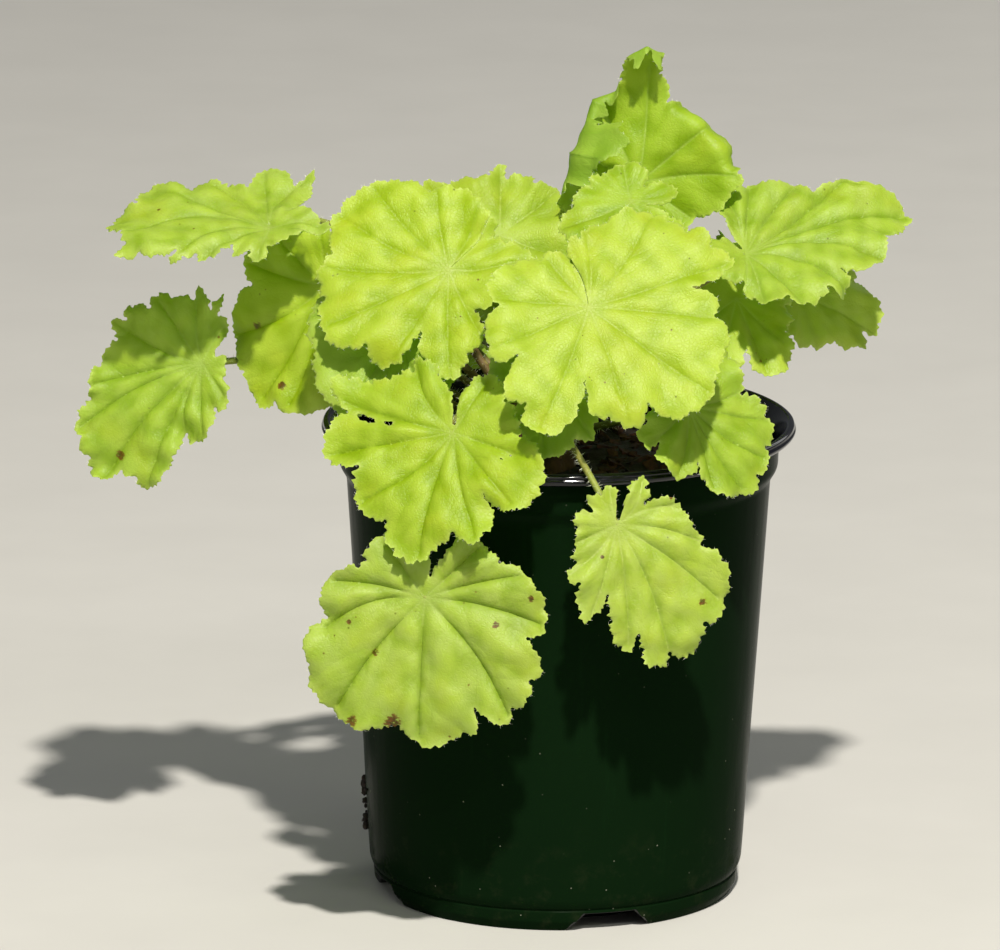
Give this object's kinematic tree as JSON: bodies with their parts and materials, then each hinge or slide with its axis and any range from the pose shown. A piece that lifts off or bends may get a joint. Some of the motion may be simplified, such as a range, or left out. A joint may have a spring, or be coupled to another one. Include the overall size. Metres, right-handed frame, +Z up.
{
  "type": "potted coral bells",
  "caption": "Lime-green lobed leaves on arching stems, growing from a woody crown in a tall round plastic nursery pot.",
  "frame": {"origin": "centre of the pot's base, on the surface it stands on", "axes": "+Z up along the pot's axis, -Y towards the side where two leaves hang over the rim, +X to the right of that side"},
  "size_m": [0.2884, 0.2156, 0.2972],
  "materials": {
    "pot_plastic": "gloss",
    "potting_soil": "matte",
    "crown_bark": "matte",
    "leaf_blade": "satin",
    "leaf_stem": "satin"
  },
  "bodies": {
    "root": {"crown": "crown_bark", "leaf_back_centre": "leaf_blade", "leaf_back_left": "leaf_blade", "leaf_back_low_left": "leaf_blade", "leaf_back_low_right": "leaf_blade", "leaf_back_middle": "leaf_blade", "leaf_back_right": "leaf_blade", "leaf_far_left_low": "leaf_blade", "leaf_far_left_top": "leaf_blade", "leaf_front_centre": "leaf_blade", "leaf_front_left": "leaf_blade", "leaf_left_back": "leaf_blade", "leaf_left_centre": "leaf_blade", "leaf_left_middle": "leaf_blade", "leaf_low_left": "leaf_blade", "leaf_low_right": "leaf_blade", "leaf_right_back": "leaf_blade", "leaf_right_back_low": "leaf_blade", "leaf_right_low": "leaf_blade", "leaf_right_top": "leaf_blade", "leaf_top_centre": "leaf_blade", "leaf_top_right": "leaf_blade", "leaf_under_front": "leaf_blade", "leaf_under_left": "leaf_blade", "pot": "pot_plastic", "potting_soil": "potting_soil", "stem_back_centre": "leaf_stem", "stem_back_left": "leaf_stem", "stem_back_low_left": "leaf_stem", "stem_back_low_right": "leaf_stem", "stem_back_middle": "leaf_stem", "stem_back_right": "leaf_stem", "stem_far_left_low": "leaf_stem", "stem_far_left_top": "leaf_stem", "stem_front_centre": "leaf_stem", "stem_front_left": "leaf_stem", "stem_left_back": "leaf_stem", "stem_left_centre": "leaf_stem", "stem_left_middle": "leaf_stem", "stem_low_left": "leaf_stem", "stem_low_right": "leaf_stem", "stem_right_back": "leaf_stem", "stem_right_back_low": "leaf_stem", "stem_right_low": "leaf_stem", "stem_right_top": "leaf_stem", "stem_top_centre": "leaf_stem", "stem_top_right": "leaf_stem", "stem_under_front": "leaf_stem", "stem_under_left": "leaf_stem"}
  },
  "joints": []
}
